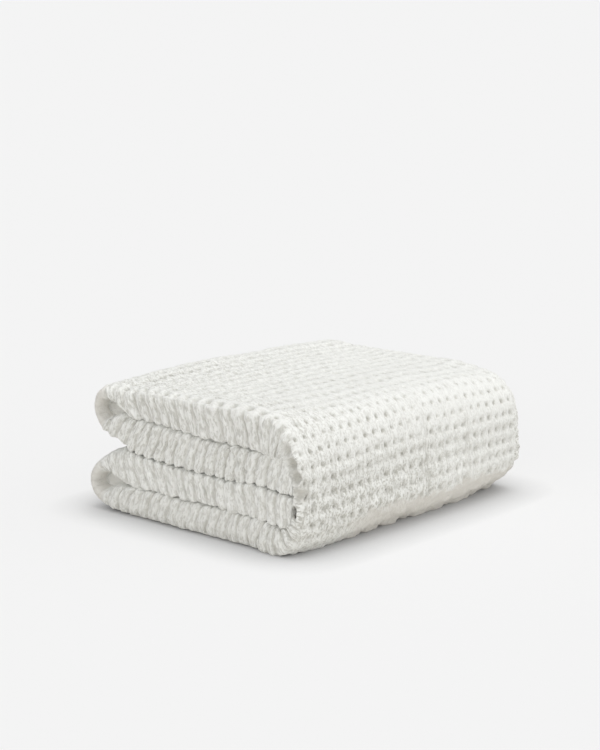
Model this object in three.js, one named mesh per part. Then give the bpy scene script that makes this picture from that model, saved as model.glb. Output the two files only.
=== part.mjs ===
// Waffle comforter, folded for a shelf. Millimetres, +Z up, resting on Z = 0.
//
// X runs along the folded bands: the two closed noses are at -X and the big outer wrap is at +X.
// Y runs across the bands: the section of the folds shows at -Y.
//
// The comforter is one long filled ribbon. From its free end inside the pile it goes left along
// band 2, round the upper nose, right along band 1 (the top), down round the outer wrap, left
// along band 4 (the bottom), round the lower nose and right along band 3.
import * as THREE from "three";

// ---- driving dimensions ------------------------------------------------------------------
const acrossWidth = 664; // Y size of the folded pile
const bottomSquash = 1.2; // how far the soft underside is pressed flat by the weight above
const edgeRound = 28; // depth in Y over which each long edge of the ribbon rounds off
const edgeFullness = 2.6; // 2 is a round edge, higher is a fuller one
const endRound = 24; // the same at the two free ends of the ribbon
const planTaper = 0.03; // how much the pile draws in at its -Y and +Y ends
const topTilt = 0.0225; // how much the top falls evenly from the middle toward +Y
const topCrown = 0.0425; // how much it falls toward both ends besides
const crownHeight = 230; // height at which that fall is full
const heelDraw = 22; // how far the outer wrap is drawn in at the floor toward its +Y end
const heelHeight = 80; // height above which it is not drawn in
const heelSide = { from: 120, to: 250 }; // X where that starts and where it is full
const heelBack = 0.25; // share of the half width, toward +Y, where that starts
const taperFrom = 0.62; // share of the half width where the plan starts to draw in
const pace = 0.75; // 1 spaces the smooth curve by the length of its spans, less evens them out

// How finely the smooth surface is divided.
const stepLength = 28; // longest step along the ribbon
const stepTurn = 0.24; // largest turn in one step, radians
const middleStations = 11; // sections over the full part of the width
const edgeFullnesses = [0.3, 0.58, 0.78, 0.92, 0.985]; // sections over each rounded long edge
const endShares = [0, 0.08, 0.25, 0.55]; // steps over each rounded free end

// Heights of the creases between the bands, and of the top, at places along the bands. air is what
// is left between two layers there: it widens toward the noses.
const pile = [
  { x: -160, crease3: 52, crease2: 124, crease1: 190, top: 250, air: 5 },
  { x: -135, crease3: 51.5, crease2: 116, crease1: 188, top: 249, air: 4.4 },
  { x: -108, crease3: 51, crease2: 110.5, crease1: 186, top: 248, air: 3.2 },
  { x: -20, crease3: 50, crease2: 107, crease1: 183, top: 249, air: 2 },
  { x: 60, crease3: 56, crease2: 108, crease1: 182, top: 252, air: 2 },
  { x: 120, crease3: 57, crease2: 112, crease1: 186, top: 255, air: 2 },
  { x: 168, crease3: 54, crease2: 115, crease1: 188, top: 254, air: 2 },
];

// Where the ribbon turns: its middle line and its thickness, in the order the ribbon runs.
const freeEnd = [
  { x: 230, z: 147, thick: 54 },
];
const upperNose = [
  { x: -196, z: 166, thick: 50 },
  { x: -229, z: 171, thick: 40 },
  { x: -250, z: 186, thick: 28 },
  { x: -256, z: 209, thick: 26 },
  { x: -241, z: 231, thick: 27 },
  { x: -207, z: 236, thick: 36 },
];
const outerWrap = [
  { x: 216, z: 213, thick: 67 },
  { x: 247, z: 186, thick: 52 },
  { x: 260, z: 150, thick: 43 },
  { x: 263, z: 112, thick: 37 },
  { x: 261, z: 70, thick: 40 },
  { x: 250, z: 37, thick: 46 },
  { x: 216, z: 25, thick: 49 },
];
const lowerNose = [
  { x: -205, z: 25, thick: 47 },
  { x: -245, z: 28, thick: 35 },
  { x: -266, z: 40, thick: 27 },
  { x: -271, z: 60, thick: 26 },
  { x: -256, z: 83, thick: 28 },
  { x: -229, z: 96, thick: 40 },
  { x: -196, z: 98, thick: 68 },
];
const innerEnd = [
  { x: 232, z: 80, thick: 58 },
];

// ---- the ribbon's middle line ------------------------------------------------------------
function band(low, high, rows) {
  return rows.map((row) => {
    const from = low === "floor" ? -bottomSquash : row[low] + row.air / 2;
    const to = high === "top" ? row.top : row[high] - row.air / 2;
    return { x: row.x, z: (from + to) / 2, thick: to - from };
  });
}

function ribbonRows() {
  const leftward = [...pile].reverse();
  return [
    ...freeEnd,
    ...band("crease2", "crease1", leftward),
    ...upperNose,
    ...band("crease1", "top", pile),
    ...outerWrap,
    ...band("floor", "crease3", leftward),
    ...lowerNose,
    ...band("crease3", "crease2", pile),
    ...innerEnd,
  ];
}

// Smooth curve through the rows; each span gets more steps where the ribbon turns tightly.
function smoothLine(rows) {
  const keys = ["x", "z", "thick"];
  const span = [];
  for (let i = 0; i + 1 < rows.length; i += 1) {
    span.push(Math.hypot(rows[i + 1].x - rows[i].x, rows[i + 1].z - rows[i].z) ** pace);
  }
  const slope = rows.map((row, i) => {
    const out = {};
    for (const key of keys) {
      if (i === 0) {
        out[key] = (rows[1][key] - row[key]) / span[0];
      } else if (i === rows.length - 1) {
        out[key] = (row[key] - rows[i - 1][key]) / span[i - 1];
      } else {
        const before = (row[key] - rows[i - 1][key]) / span[i - 1];
        const after = (rows[i + 1][key] - row[key]) / span[i];
        out[key] = (before * span[i] + after * span[i - 1]) / (span[i - 1] + span[i]);
      }
    }
    return out;
  });
  const heading = slope.map((s) => Math.atan2(s.z, s.x));
  const line = [];
  for (let i = 0; i + 1 < rows.length; i += 1) {
    const chord = Math.hypot(rows[i + 1].x - rows[i].x, rows[i + 1].z - rows[i].z);
    const swing = heading[i + 1] - heading[i];
    const turn = Math.abs(Math.atan2(Math.sin(swing), Math.cos(swing)));
    const steps = Math.max(Math.round(chord / stepLength), Math.ceil(turn / stepTurn), 1);
    for (let k = 0; k < steps; k += 1) {
      line.push(spanPoint(rows, slope, span, keys, i, k / steps));
    }
  }
  line.push({ ...rows[rows.length - 1] });
  return line;
}

function spanPoint(rows, slope, span, keys, i, t) {
  const point = {};
  for (const key of keys) {
    const start = (2 * t ** 3 - 3 * t ** 2 + 1) * rows[i][key];
    const startSlope = (t ** 3 - 2 * t ** 2 + t) * span[i] * slope[i][key];
    const stop = (-2 * t ** 3 + 3 * t ** 2) * rows[i + 1][key];
    const stopSlope = (t ** 3 - t ** 2) * span[i] * slope[i + 1][key];
    point[key] = start + startSlope + stop + stopSlope;
  }
  return point;
}

// The two free ends round off: extra points close to each end follow the rounding.
function withRoundedEnds(line) {
  const roundOff = (from, to) => {
    const run = Math.hypot(to.x - from.x, to.z - from.z);
    return endShares.map((s) => {
      const t = (s * endRound) / run;
      const point = {};
      for (const key of ["x", "z", "thick"]) {
        point[key] = from[key] + (to[key] - from[key]) * t;
      }
      point.thick *= Math.sqrt(1 - (1 - s) ** 2);
      return point;
    });
  };
  const last = line.length - 1;
  const head = roundOff(line[0], line[1]);
  const tail = roundOff(line[last], line[last - 1]).reverse();
  return [...head, ...line.slice(1, last), ...tail];
}

// ---- the section at one place across the pile --------------------------------------------
// fullness is 1 over most of the width and falls toward 0 at the rounded long edges
function sectionSides(line, fullness) {
  const sideA = [];
  const sideB = [];
  line.forEach((point, i) => {
    const before = line[Math.max(i - 1, 0)];
    const after = line[Math.min(i + 1, line.length - 1)];
    const run = Math.hypot(after.x - before.x, after.z - before.z);
    const nx = -(after.z - before.z) / run;
    const nz = (after.x - before.x) / run;
    const half = (point.thick / 2) * fullness;
    sideA.push({ x: point.x + nx * half, z: point.z + nz * half });
    sideB.push({ x: point.x - nx * half, z: point.z - nz * half });
  });
  return { sideA, sideB };
}

// Moves a point of the even section to where it lies: plan taper, falling top and drawn-in heel.
function settle(x, y, z) {
  const q = Math.min(Math.abs(y) / (acrossWidth / 2), 1);
  const corner = Math.max(0, (q - taperFrom) / (1 - taperFrom));
  const along = y / (acrossWidth / 2);
  const fall = topTilt * along + topCrown * along ** 2;
  const height = Math.min(Math.max(z / crownHeight, 0), 1);
  const low = Math.max(0, 1 - Math.max(z, 0) / heelHeight);
  const toBack = Math.max(0, (along - heelBack) / (1 - heelBack));
  const outward = Math.min(Math.max((x - heelSide.from) / (heelSide.to - heelSide.from), 0), 1);
  const heel = heelDraw * low ** 1.3 * toBack ** 1.5 * outward;
  const drawnX = x * (1 - planTaper * corner ** 2.2) - heel;
  return [drawnX, y, Math.max(0, z * (1 - fall * height))];
}

// ---- places across the pile --------------------------------------------------------------
function stations() {
  const half = acrossWidth / 2;
  const depth = (f) => edgeRound * (1 - (1 - f ** edgeFullness) ** (1 / edgeFullness));
  const first = depth(edgeFullnesses[0]);
  const edge = edgeFullnesses.map((f) => ({ inset: depth(f) - first, fullness: f }));
  const middle = [];
  for (let i = 0; i < middleStations; i += 1) {
    const y = -half + edgeRound + ((2 * (half - edgeRound)) / (middleStations - 1)) * i;
    middle.push({ y, fullness: 1 });
  }
  return [
    ...edge.map((e) => ({ y: -half + e.inset, fullness: e.fullness })),
    ...middle,
    ...[...edge].reverse().map((e) => ({ y: half - e.inset, fullness: e.fullness })),
  ];
}

// ---- the closed solid --------------------------------------------------------------------
function buildComforter() {
  const line = withRoundedEnds(smoothLine(ribbonRows()));
  const count = line.length;
  const rings = stations().map((station) => {
    const { sideA, sideB } = sectionSides(line, station.fullness);
    const around = [...sideA, ...sideB.slice(1, count - 1).reverse()];
    return around.map((p) => settle(p.x, station.y, p.z));
  });
  const ringSize = rings[0].length;
  const positions = rings.flat();
  const lowX = Math.min(...positions.map((p) => p[0]));
  const highX = Math.max(...positions.map((p) => p[0]));
  const shift = (lowX + highX) / 2;
  const flat = positions.flatMap((p) => [p[0] - shift, p[1], p[2]]);

  const faces = [];
  for (let s = 0; s + 1 < rings.length; s += 1) {
    for (let i = 0; i < ringSize; i += 1) {
      const a = s * ringSize + i;
      const b = s * ringSize + ((i + 1) % ringSize);
      faces.push(a, b, b + ringSize);
      faces.push(a, b + ringSize, a + ringSize);
    }
  }
  closeEnd(faces, 0, count, ringSize, false);
  closeEnd(faces, (rings.length - 1) * ringSize, count, ringSize, true);

  const geometry = new THREE.BufferGeometry();
  geometry.setAttribute("position", new THREE.Float32BufferAttribute(flat, 3));
  geometry.setIndex(signedVolume(flat, faces) < 0 ? flipped(faces) : faces);
  geometry.computeVertexNormals();
  return geometry;
}

// Strip across the ribbon's thickness that closes one long edge.
function closeEnd(faces, first, count, ringSize, reverse) {
  const sideA = (i) => first + i;
  const sideB = (i) => (i === 0 || i === count - 1 ? first + i : first + ringSize - i);
  for (let i = 0; i + 1 < count; i += 1) {
    const corners = [sideA(i), sideB(i), sideB(i + 1), sideA(i + 1)];
    const ring = reverse ? corners.reverse() : corners;
    const unique = ring.filter((v, k) => ring.indexOf(v) === k);
    for (let k = 1; k + 1 < unique.length; k += 1) {
      faces.push(unique[0], unique[k], unique[k + 1]);
    }
  }
}

function signedVolume(flat, faces) {
  let volume = 0;
  for (let f = 0; f < faces.length; f += 3) {
    const [a, b, c] = [faces[f], faces[f + 1], faces[f + 2]].map((v) => flat.slice(v * 3, v * 3 + 3));
    volume += a[0] * (b[1] * c[2] - b[2] * c[1]);
    volume += a[1] * (b[2] * c[0] - b[0] * c[2]);
    volume += a[2] * (b[0] * c[1] - b[1] * c[0]);
  }
  return volume / 6;
}

function flipped(faces) {
  const out = [];
  for (let f = 0; f < faces.length; f += 3) {
    out.push(faces[f], faces[f + 2], faces[f + 1]);
  }
  return out;
}

const comforter = new THREE.Mesh(
  buildComforter(),
  new THREE.MeshStandardMaterial({ color: 0xe4e2da, roughness: 0.95, metalness: 0 }),
);
comforter.name = "comforter";

const part = new THREE.Group();
part.name = "waffle_comforter";
part.add(comforter);

export default part;
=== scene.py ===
"""Waffle comforter, folded: its looks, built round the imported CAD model.

The comforter is one long filled ribbon, folded back and forth. Its surface is a lattice: rows i
follow the ribbon, columns j go once round its section (side A, +Y edge, side B, -Y edge). The
lattice carries the cloth's own coordinates, from which the waffle weave is raised as real shape.
Lengths are in millimetres up to the last step, which turns them into metres.
"""
import math

import bpy
import numpy as np
from mathutils import Matrix, Vector


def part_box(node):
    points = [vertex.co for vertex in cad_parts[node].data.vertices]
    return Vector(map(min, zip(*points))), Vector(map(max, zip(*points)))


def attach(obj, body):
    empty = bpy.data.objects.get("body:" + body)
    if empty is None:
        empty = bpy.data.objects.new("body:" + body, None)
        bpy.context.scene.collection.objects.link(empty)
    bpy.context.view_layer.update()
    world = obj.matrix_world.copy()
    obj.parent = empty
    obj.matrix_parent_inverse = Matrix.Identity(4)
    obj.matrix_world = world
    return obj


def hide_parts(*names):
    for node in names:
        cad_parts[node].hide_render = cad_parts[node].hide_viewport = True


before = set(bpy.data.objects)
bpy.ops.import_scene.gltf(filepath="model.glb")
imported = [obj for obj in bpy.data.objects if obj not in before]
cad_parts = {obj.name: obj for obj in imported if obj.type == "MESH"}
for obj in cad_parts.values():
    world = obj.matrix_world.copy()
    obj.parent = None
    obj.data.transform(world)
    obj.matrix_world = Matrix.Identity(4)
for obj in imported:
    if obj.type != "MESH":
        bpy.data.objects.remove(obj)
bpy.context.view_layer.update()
low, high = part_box("comforter")

MM = 0.001
TAU = 2 * math.pi

# ---- the folded ribbon ---------------------------------------------------------------------------
# It is close to the CAD model's, but its creases lie 2 to 14 mm higher, its top 0 to 3 mm, and the
# front edge of its top is puffed up.
ACROSS = (high.y - low.y) / MM
BOTTOM_SQUASH = 1.2  # how far the lowest band reaches below the floor before it is cut flat
EDGE_ROUND = 28  # how far the rounded edges reach past the flat sides
END_ROUND = (11, 11)  # how far the rounding of the ribbon's first and last end reaches
END_DRAW = (0.012, 0.03)  # the share by which the ribbon's two ends draw in from front and back
PLAN_TAPER, TAPER_FROM = 0.03, 0.62  # the pile narrows toward its front and back corners
TOP_TILT, TOP_CROWN, CROWN_HEIGHT = 0.0225, 0.0425, 230  # the top falls toward front and back
# how far the front edge of the top stands up, and where: forward, from which height, and along x
FRONT_PUFF = 9
PUFF_FORWARD, PUFF_HEIGHT, PUFF_SIDE = (150, 310), (188, 240), (-110, 200, 75)
# the drawn-in foot of the wrap at the back: how far, up to what height, from where back, and along x
HEEL_DRAW, HEEL_HEIGHT, HEEL_BACK, HEEL_SIDE = 22, 80, 0.25, (120, 250)
PACE = 0.75  # power of a gap's length that sets the curve's pace through it
SAMPLES = 80  # points of the curve in each gap between rows

# x, heights of crease 3, crease 2, crease 1 and the top, and the air between two layers
PILE = [
    (-160, 61, 128, 200, 251, 2.0),
    (-135, 61.5, 126, 198.5, 251, 1.6),
    (-108, 62, 124, 196.5, 251, 1.2),
    (-20, 61.5, 121, 194, 252, 1.0),
    (60, 63, 119.5, 189.5, 254, 1.0),
    (120, 62, 119, 191, 256, 1.0),
    (168, 59.5, 123, 190, 254, 1.0),
]
TOP_KEY, AIR_KEY = 4, 5
# x, z and thickness where the ribbon turns
FREE_END = [(263, 151, 66)]
UPPER_NOSE = [
    (-196, 169, 54), (-231, 171, 40), (-253, 186, 28), (-260, 209, 26), (-246, 232, 25),
    (-209, 238.5, 31),
]
OUTER_WRAP = [
    (221, 215.5, 61), (251, 196, 37), (265, 158, 25), (268.5, 114, 20), (268.5, 75, 22), (247, 39, 41),
    (214, 27, 55.5),
]
LOWER_NOSE = [
    (-205, 27, 52), (-245, 28, 35), (-266, 40, 27), (-271, 60, 26), (-256, 83, 28), (-229, 96, 40),
    (-196, 98, 68),
]
INNER_END = [(259, 84, 60)]

# ---- the lattice ---------------------------------------------------------------------------------
STEP = 1.6  # finest spacing, along the ribbon and round its section
EDGE_COLUMNS = 60
COARSE = 8  # stride of the hidden blocks; their rows and columns are a multiple of it

# ---- the waffle weave ----------------------------------------------------------------------------
CELL_U, CELL_V = 27.0, 24.9  # pitch along the ribbon and across it
COLUMN_START = 2.4  # where across the ribbon the first column of pits lies
ROPE, BAR, PIT = 1.5, 1.0, 5.6  # height of the ropes and bars between pits, depth of a pit
PIT_U, PIT_V = 4.3, 4.0  # half sizes of a pit
PIT_POWER = 2.4  # how square a pit is: 2 is an ellipse
PIT_STRAY = 1.3  # how far a pit may stray from the middle of its cell
HOLLOW_U, HOLLOW_V = 7.8, 7.4  # half sizes of the shallow hollow round a pit
SEAMS = [(22, 10), (149, 8)]  # quilting seams: place across, and the plain cloth each takes up
SEAM_SPREAD = 16  # how far each side of a seam the cells give way for it
STRONG_SEAM = 8  # a seam that takes up more cloth than this is sewn full depth
STRAND = 6.4  # spacing of the upright strands on the outer wrap

# ---- heights of the other relief -----------------------------------------------------------------
RIB_PUFF, RIB_VALLEY, RIB_MIDDLE = 3.4, 3.6, 2.2  # a rib, the valley beside it, the fold in its middle
VALLEY_WIDTH, MIDDLE_WIDTH = 3.1, 2.6  # half widths of that valley and that fold
RIB_BOW = 7  # how far a rib bows in the middle of its face
WEAVE_LEVEL, RIB_LEVEL, HIDDEN_LEVEL = 0.9, 1.6, 0.4  # what is taken off so that relief stays level
LINE_HEIGHT, LINE_WIDTH = 2.6, 2.2  # the light line along the wrap's front edge
FURROW_DEPTH, FURROW_APART, FURROW_WIDTH = 3.6, 3.4, 1.8  # a seam's furrows, each side of its thread
CORNER_RISE = 4.0  # the raised corner of the top, front and back
CORNER_REACH = 11  # how much further round the edge that corner lies where it is square
CLOSED_CREASE = 4.5  # how far both sides of crease 1 are raised to close it at its right end
POCKET_FILL = [("upper_nose", 7), ("band1", 7), ("lower_nose", 4), ("band3", 4)]  # swells of side B
CREASE_GAPE = 2.4  # how far side B falls back at both ends of crease 1
RIDGE_AT = 55  # height of the ridge above the undercut of the outer wrap
RIDGE_RISE, WRINKLES, SMALL_WRINKLES, FOOT_HOLLOW, FOOT_FOLDS = 3.0, 2.4, 1.6, 2.5, 5.0  # the wrap's foot
DRAGGED = [(120.0, 50.8), (165.7, 88.8)]  # the dragged crease's ends: place along, and past side A
DRAG_SLANT = 0.75  # turns a distance along the ribbon into the distance from that crease
DIMPLE_DEPTH, TROUGH_DEPTH, HOLE_DEPTH = 10, 4, 38  # dents in the front end by the wrap
DIMPLES = [  # x, z, half width, half height, size
    (240, 200, 7, 9, 0.6), (250, 177, 9, 10, 1.2), (258, 153, 9, 11, 1.2), (264, 122, 9, 11, 0.9),
]
HOLE = (258, 89, 4.0, 9)  # x, z, half width, half height
LIGHT_LINE = [  # height on the wrap, and how far past side A the raised line runs there
    (218, 28), (201, 29), (184, 17), (164, 9.5), (147, 7), (123, 5.5), (91, 5.5), (62, 11),
]


def ramp(x, start, stop):
    """0 before start, 1 after stop, smooth between them. start may be the larger."""
    t = np.clip((x - start) / (stop - start), 0, 1)
    return t * t * (3 - 2 * t)


def window(x, start, stop, fade):
    """1 between start and stop, fading to 0 over fade outside them."""
    return ramp(x, start - fade, start) * (1 - ramp(x, stop, stop + fade))


def smoother(t):
    return t * t * t * (t * (t * 6 - 15) + 10)


def noise(u, v, size, seed):
    """Smooth random values from -1 to 1, about size apart."""
    count = 128
    table = np.random.default_rng(seed).uniform(-1, 1, (count, count))
    x, y = u / size, v / size
    i, j = np.floor(x).astype(int), np.floor(y).astype(int)
    a, b = smoother(x - i), smoother(y - j)
    i0, i1, j0, j1 = i % count, (i + 1) % count, j % count, (j + 1) % count
    near = table[i0, j0] * (1 - a) + table[i1, j0] * a
    far = table[i0, j1] * (1 - a) + table[i1, j1] * a
    return near * (1 - b) + far * b


def bump_at(x, place, width):
    """A rounded bump of height 1 at a place, as wide as width each way."""
    return np.exp(-(((x - place) / width) ** 2))


# ---- the ribbon's middle line --------------------------------------------------------------------
def band(low_key, high_key, pile):
    """Middle line and thickness of one band; keys are columns of PILE, or None for the floor."""
    out = []
    for row in pile:
        bottom = -BOTTOM_SQUASH if low_key is None else row[low_key] + row[AIR_KEY] / 2
        top = row[high_key] - (0 if high_key == TOP_KEY else row[AIR_KEY] / 2)
        out.append((row[0], (bottom + top) / 2, top - bottom))
    return out


def ribbon_rows():
    """All rows in the order in which the ribbon runs, and where each part starts."""
    leftward_pile = PILE[::-1]
    parts = [
        ("free_end", FREE_END),
        ("band2", band(2, 3, leftward_pile)),
        ("upper_nose", UPPER_NOSE),
        ("band1", band(3, TOP_KEY, PILE)),
        ("wrap", OUTER_WRAP),
        ("band4", band(None, 1, leftward_pile)),
        ("lower_nose", LOWER_NOSE),
        ("band3", band(1, 2, PILE)),
        ("inner_end", INNER_END),
    ]
    all_rows, first_rows = [], {}
    for name, part in parts:
        first_rows[name] = len(all_rows)
        all_rows += part
    return np.array(all_rows, float), first_rows


def smooth_line(knots):
    """A smooth curve through the knots, closely sampled, with each knot's place along it."""
    span = np.hypot(np.diff(knots[:, 0]), np.diff(knots[:, 1])) ** PACE
    rise = np.diff(knots, axis=0) / span[:, None]
    slope = np.empty_like(knots)
    slope[0], slope[-1] = rise[0], rise[-1]
    share = (span[:-1] / (span[:-1] + span[1:]))[:, None]
    slope[1:-1] = rise[:-1] * share + rise[1:] * (1 - share)
    t = np.linspace(0, 1, SAMPLES, endpoint=False)[:, None]
    pieces = []
    for i in range(len(knots) - 1):
        pieces.append(
            (2 * t**3 - 3 * t**2 + 1) * knots[i]
            + (t**3 - 2 * t**2 + t) * span[i] * slope[i]
            + (3 * t**2 - 2 * t**3) * knots[i + 1]
            + (t**3 - t**2) * span[i] * slope[i + 1]
        )
    line = np.vstack([*pieces, knots[-1:]])
    run = np.concatenate([[0], np.cumsum(np.hypot(np.diff(line[:, 0]), np.diff(line[:, 1])))])
    return line, run, run[::SAMPLES]


rows, starts = ribbon_rows()
dense, dense_along, row_along = smooth_line(rows)


def at(name, k=0):
    """Place along the ribbon of row k of a part; k below 0 counts from the part's end."""
    first = starts[name]
    after = [s for s in starts.values() if s > first]
    size = (min(after) if after else len(rows)) - first
    return row_along[first + (k % size)]


LENGTH = dense_along[-1]
I = int(round(LENGTH / STEP / COARSE)) * COARSE  # the last row
SIDE = int(round((ACROSS - 2 * EDGE_ROUND) / STEP / COARSE)) * COARSE
J = 2 * SIDE + 2 * EDGE_COLUMNS  # the number of columns
B0 = SIDE + EDGE_COLUMNS  # side B's first column
B1 = B0 + SIDE  # its last column
inner = ACROSS / 2 - EDGE_ROUND  # half the width of the flat sides


def row_index(place):
    """The nearest row that a block may end on."""
    return int(round(place / LENGTH * I / COARSE)) * COARSE


# How square the edges are along the ribbon, toward side B and toward side A: 2 is an ellipse. They
# are rounder where they are open to view.
CREASE_FULLNESS = [
    (at("free_end") + 12, 9), (at("band2", 0) + 20, 9), (at("band2", 0) + 50, 8),
    (at("upper_nose", 0), 5), (at("upper_nose", 2), 2), (at("upper_nose", 4), 2),
    (at("band1", 0) - 10, 4), (at("band1", 0) + 40, 8), (at("band1", -1) - 40, 8),
    (at("band1", -1) - 5, 9), (at("wrap", 4), 9), (at("wrap", 5), 7), (at("band4", 1), 9),
    (at("band4", -1) - 20, 6), (at("lower_nose", 1), 2), (at("lower_nose", 4), 2),
    (at("band3", 0), 4), (at("band3", 0) + 40, 9),
]
OUTER_FULLNESS = [
    (at("band2", -1), 8), (at("upper_nose", 0), 2.5), (at("upper_nose", 4), 2.7),
    (at("band1", 1), 4.6), (at("band1", -2), 4.2), (at("wrap", 0), 2.9), (at("wrap", -2), 2.6),
    (at("band4", 1), 2.7), (at("band4", -1), 2.3), (at("lower_nose", 0), 2.3),
    (at("lower_nose", -1), 2.6), (at("band3", 1), 8),
]


def follow(x, pairs):
    """The value at x of a line through (place, value) pairs."""
    return np.interp(x, [p[0] for p in pairs], [p[1] for p in pairs])


# ---- the plain surface ---------------------------------------------------------------------------
def edge_curve(half, outer_fullness, crease_fullness):
    """Even steps round an edge from side A to side B: how far out and off the middle, and its length."""
    theta = np.linspace(0, math.pi, 241)
    power = 2 / np.where(theta < math.pi / 2, outer_fullness, crease_fullness)
    out = EDGE_ROUND * np.abs(np.sin(theta)) ** power
    over = np.sign(np.cos(theta)) * np.abs(np.cos(theta)) ** power
    length = np.concatenate([[0], np.cumsum(np.hypot(np.diff(out), half * np.diff(over)))])
    place = np.linspace(0, 1, EDGE_COLUMNS + 1) * length[-1]
    return np.interp(place, length, out), half * np.interp(place, length, over), length[-1]


def base_lattice():
    """The plain surface: points (I + 1, J, 3), each row's place along, and its edges' length."""
    place = np.linspace(0, LENGTH, I + 1)
    x, z, thick = (np.interp(place, dense_along, dense[:, k]) for k in range(3))
    dx, dz = np.gradient(x), np.gradient(z)
    run = np.hypot(dx, dz)
    nx, nz = -dz / run, dx / run
    end = np.clip(np.minimum(place / END_ROUND[0], (LENGTH - place) / END_ROUND[1]), 0, 1)
    half = thick / 2 * np.sqrt(1 - (1 - end) ** 2)

    side_y = np.linspace(-inner, inner, SIDE + 1)
    outer, crease = follow(place, OUTER_FULLNESS), follow(place, CREASE_FULLNESS)
    off, y, lengths = np.empty((I + 1, J)), np.empty((I + 1, J)), np.empty(I + 1)
    for i in range(I + 1):
        out, over, lengths[i] = edge_curve(half[i], outer[i], crease[i])
        level = np.full(SIDE, half[i])
        off[i] = np.concatenate([level, over[:-1], -level, over[:0:-1]])
        y[i] = np.concatenate([side_y[:-1], inner + out[:-1], side_y[:0:-1], -inner - out[:0:-1]])
    draw = np.where(place < LENGTH / 2, *END_DRAW)
    y *= 1 - (draw * (1 - end) ** 1.6)[:, None]
    px = x[:, None] + nx[:, None] * off
    pz = z[:, None] + nz[:, None] * off
    return settled(px, y, pz), place, lengths


def settled(x, y, z):
    """Plan taper, falling top and drawn-in heel, as in the CAD model, and a puffed front edge."""
    puff = ramp(-y, *PUFF_FORWARD) * ramp(z, *PUFF_HEIGHT) * window(x, *PUFF_SIDE)
    z = z + FRONT_PUFF * puff
    to_edge = np.minimum(np.abs(y) / (ACROSS / 2), 1)
    corner = np.maximum(0, (to_edge - TAPER_FROM) / (1 - TAPER_FROM))
    across = y / (ACROSS / 2)
    fall = TOP_TILT * across + TOP_CROWN * across**2
    height = np.clip(z / CROWN_HEIGHT, 0, 1)
    low_down = np.maximum(0, 1 - np.maximum(z, 0) / HEEL_HEIGHT)
    to_back = np.maximum(0, (across - HEEL_BACK) / (1 - HEEL_BACK))
    outward = np.clip((x - HEEL_SIDE[0]) / (HEEL_SIDE[1] - HEEL_SIDE[0]), 0, 1)
    heel = HEEL_DRAW * low_down**1.3 * to_back**1.5 * outward
    x = x * (1 - PLAN_TAPER * corner**2.2) - heel
    return np.stack([x, y, np.maximum(0, z * (1 - fall * height))], -1)


def lattice_normals(surface):
    """Unit normals at the lattice points, outward."""
    du = np.gradient(surface, axis=0)
    dv = np.roll(surface, -1, axis=1) - np.roll(surface, 1, axis=1)
    n = np.cross(du, dv)
    n = n / np.maximum(np.linalg.norm(n, axis=-1, keepdims=True), 1e-9)
    n[0], n[-1] = n[1], n[-2]
    return n


base, along, edge_length = base_lattice()
shift = (base[..., 0].min() + base[..., 0].max()) / 2  # puts the pile's middle on the frame's

column = np.arange(J)
in_a = column <= SIDE
in_back = (column > SIDE) & (column < B0)
in_b = (column >= B0) & (column <= B1)
in_front = column > B1
edge = in_back | in_front
# share of the way over an edge, from side A (0) to side B (1)
over_edge = np.zeros(J)
over_edge[in_back] = (column[in_back] - SIDE) / EDGE_COLUMNS
over_edge[in_b] = 1
over_edge[in_front] = (J - column[in_front]) / EDGE_COLUMNS
reach = edge_length[:, None] * over_edge[None, :]  # distance over an edge from side A
left = edge_length[:, None] - reach  # distance left to side B
S = np.broadcast_to(along[:, None], reach.shape)  # place along the ribbon

# ---- the cloth's own coordinates -----------------------------------------------------------------
# U runs along the ribbon on side A's surface, V across it and on round the edges
mid = base[:, SIDE // 2]
u_row = np.concatenate([[0], np.cumsum(np.linalg.norm(np.diff(mid, axis=0), axis=1))])
# how far the ribs at an edge have slipped from side A to side B, along the ribbon
SLIP = [
    (at("free_end"), 12), (at("band2", 0), 18), (at("band2", -1), 34), (at("upper_nose", 3), 0),
    (at("band1", 0), -34), (at("band1", -1), -16), (at("wrap", 3), 0), (at("band4", 0), 16),
    (at("band4", -1), 30), (at("lower_nose", 3), 0), (at("band3", 0), -30), (at("band3", -1), -12),
    (at("inner_end"), -8),
]


def cloth_coordinates():
    """U and V of each lattice point."""
    u = u_row[:, None] + follow(along, SLIP)[:, None] * ramp(over_edge, 0.05, 1.0)[None, :]
    y = base[..., 1]
    v = np.where(in_a, y, 0.0)
    v = np.where(in_back, inner + reach, v)
    v = np.where(in_front, -inner - reach, v)
    v = np.where(in_b & (y > 0), inner + edge_length[:, None] + inner - y, v)
    return u, np.where(in_b & (y <= 0), -inner - edge_length[:, None] - inner - y, v)


U, V = cloth_coordinates()


def over_top(x):
    """Place along the ribbon where the top's surface passes x."""
    i = np.nonzero((along > at("band1", 0)) & (along < at("wrap", 1)))[0]
    return np.interp(x, mid[i, 0], along[i])


def down_wrap(z):
    """Place along the ribbon where the outer wrap's surface passes height z."""
    i = np.nonzero((along > at("band1", -1)) & (along < at("band4", 0)))[0][::-1]
    return np.interp(z, mid[i, 2], along[i])


# row numbers of the weave at places along the ribbon: cells are longer on top and round the bend
WEAVE_ROWS = [
    (over_top(-127), -19), (over_top(38), -13), (over_top(180), -9), (down_wrap(171), -4),
    (down_wrap(60), 0),
]


def cell_rows(u):
    """Row number of the weave at u, a pit at each whole number."""
    knots = np.interp([p[0] for p in WEAVE_ROWS], along, u_row)
    row = np.interp(u, knots, [p[1] for p in WEAVE_ROWS])
    row = np.where(u < knots[0], WEAVE_ROWS[0][1] + (u - knots[0]) / CELL_U, row)
    return np.where(u > knots[-1], (u - knots[-1]) / CELL_U, row)


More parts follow.
